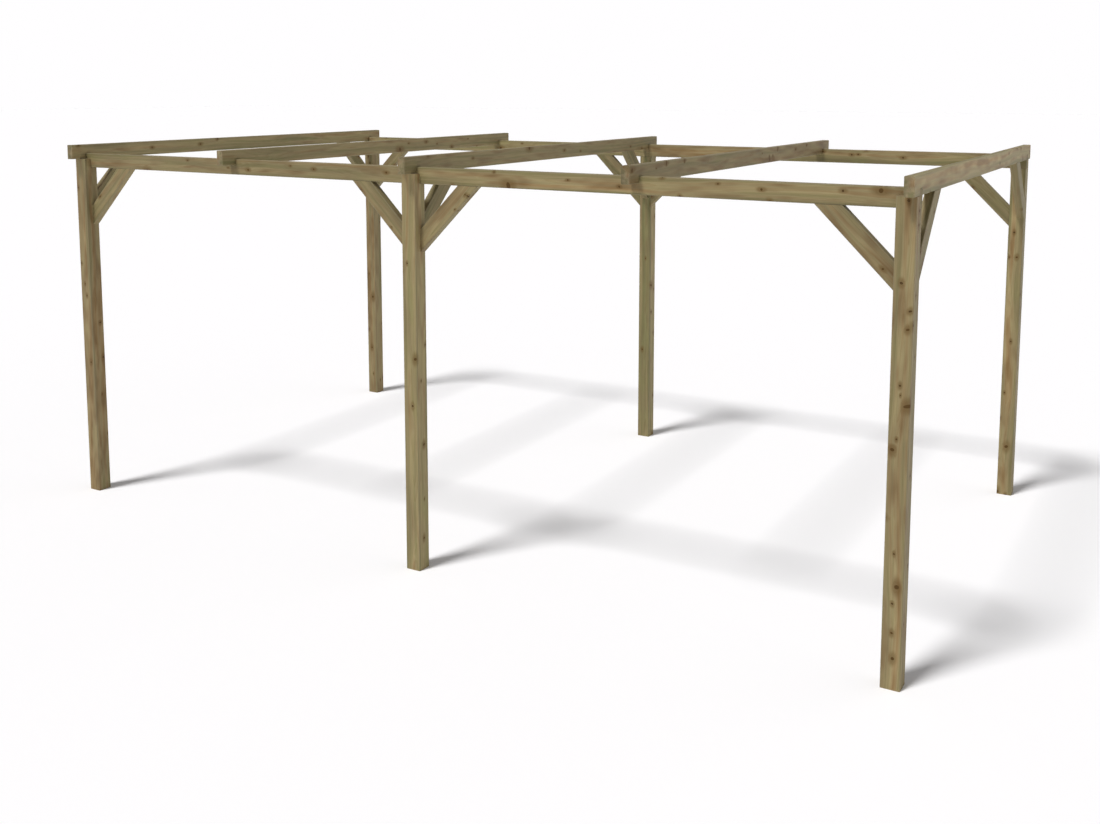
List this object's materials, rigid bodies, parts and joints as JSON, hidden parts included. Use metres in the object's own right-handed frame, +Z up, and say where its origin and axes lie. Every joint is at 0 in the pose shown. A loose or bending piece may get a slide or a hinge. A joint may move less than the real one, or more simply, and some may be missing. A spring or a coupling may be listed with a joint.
{
  "type": "carport frame",
  "caption": "Open timber carport frame: square posts in two rows, a beam along each row, rafters laid across them and knee braces in every corner.",
  "frame": {"origin": "on the ground at the middle of the post grid", "axes": "+X along the rows of posts, the way a car drives through; +Y from the front row to the rear row; +Z up"},
  "size_m": [5.33, 3.134, 2.29],
  "materials": {
    "post_timber": "satin",
    "beam_timber": "satin",
    "rafter_timber": "satin",
    "brace_timber": "satin"
  },
  "bodies": {
    "root": {"front_left_post": "post_timber", "front_middle_post": "post_timber", "front_right_post": "post_timber", "rear_left_post": "post_timber", "rear_middle_post": "post_timber", "rear_right_post": "post_timber", "front_left_beam": "beam_timber", "front_right_beam": "beam_timber", "rear_left_beam": "beam_timber", "rear_right_beam": "beam_timber", "left_end_rafter": "rafter_timber", "left_bay_rafter": "rafter_timber", "middle_rafter": "rafter_timber", "right_bay_rafter": "rafter_timber", "right_end_rafter": "rafter_timber", "front_left_post_brace": "brace_timber", "front_middle_post_left_brace": "brace_timber", "front_middle_post_right_brace": "brace_timber", "front_right_post_brace": "brace_timber", "rear_left_post_brace": "brace_timber", "rear_middle_post_left_brace": "brace_timber", "rear_middle_post_right_brace": "brace_timber", "rear_right_post_brace": "brace_timber", "front_left_cross_brace": "brace_timber", "front_middle_cross_brace": "brace_timber", "front_right_cross_brace": "brace_timber", "rear_left_cross_brace": "brace_timber", "rear_middle_cross_brace": "brace_timber", "rear_right_cross_brace": "brace_timber"}
  },
  "joints": []
}
